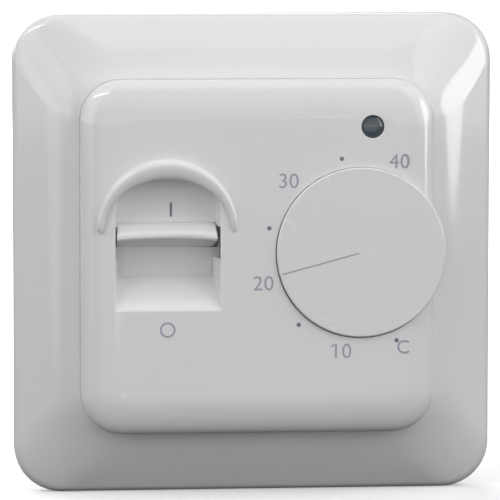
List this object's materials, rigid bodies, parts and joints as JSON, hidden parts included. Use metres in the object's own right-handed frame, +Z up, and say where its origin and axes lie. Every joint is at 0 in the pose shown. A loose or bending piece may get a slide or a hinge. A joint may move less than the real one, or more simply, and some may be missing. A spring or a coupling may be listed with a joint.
{
  "type": "wall thermostat",
  "caption": "Square flush wall thermostat with a domed frame, a turning temperature dial, a sliding on-off switch, an indicator light and a wall-box housing.",
  "frame": {"origin": "centre of the frame plate on the wall plane, where the mounting flange bears on the wall box", "axes": "+X to the right as seen from the room, +Y into the wall, +Z up; the front faces -Y"},
  "size_m": [0.082, 0.0373, 0.082],
  "materials": {
    "shell_white": "glossy",
    "dial_white": "satin gloss",
    "base_white": "matt",
    "lens": "clear smoked",
    "led_epoxy": "clear",
    "board_green": "solder mask",
    "black_plastic": "matt",
    "capacitor_sleeve": "heat-shrink sleeve",
    "relay_blue": "gloss",
    "film_yellow": "gloss",
    "resistor_grey": "cement",
    "terminal_grey": "matt",
    "shaft_grey": "matt",
    "steel": "zinc plated",
    "brass": "bright",
    "coil_copper": "enamelled wire"
  },
  "bodies": {
    "housing": {"decor_plate": "shell_white", "front_cover": "shell_white", "lamp_lens": "lens", "mains_switch_body": "black_plastic", "mounting_base": "base_white", "power_board": "board_green", "control_board": "board_green", "board_pin_header": "brass", "potentiometer_body": "steel", "indicator_led": "led_epoxy", "led_spacer": "black_plastic", "relay_base": "black_plastic", "relay_case": "relay_blue", "relay_coil": "coil_copper", "relay_yoke": "steel", "relay_armature": "steel", "relay_fixed_contact": "brass", "film_capacitor": "film_yellow", "electrolytic_capacitor_large": "capacitor_sleeve", "electrolytic_capacitor_small": "capacitor_sleeve", "varistor": "relay_blue", "power_resistor": "resistor_grey", "comparator_chip": "black_plastic", "terminal_block": "terminal_grey", "terminal_clamp_1": "brass", "terminal_screw_1": "steel", "terminal_clamp_2": "brass", "terminal_screw_2": "steel", "terminal_clamp_3": "brass", "terminal_screw_3": "steel", "terminal_clamp_4": "brass", "terminal_screw_4": "steel", "terminal_clamp_5": "brass", "terminal_screw_5": "steel", "terminal_clamp_6": "brass", "terminal_screw_6": "steel", "cover_screw": "steel", "power_board_screw_1": "steel", "power_board_screw_2": "steel", "control_board_screw_1": "steel", "control_board_screw_2": "steel"},
    "dial": {"dial_knob": "dial_white", "potentiometer_shaft": "shaft_grey"},
    "slide": {"switch_slide": "shell_white"},
    "switch_pin": {"mains_switch_pin": "base_white"}
  },
  "joints": [
    {"name": "dial_turn", "type": "hinge", "parent": "housing", "child": "dial", "pos_m": [0.0173, 0, 0.00085], "axis": [0, -1, 0], "range_deg": [-128, 98]},
    {"name": "switch_travel", "type": "slide", "parent": "housing", "child": "slide", "axis": [0, 0, 1], "range_m": [-0.0051, 0]},
    {"name": "pin_travel", "type": "slide", "parent": "housing", "child": "switch_pin", "axis": [0, 0, 1], "range_m": [-0.0051, 0]}
  ],
  "couplings": [
    {"joint": "pin_travel", "follows": "switch_travel", "ratio": 1}
  ]
}
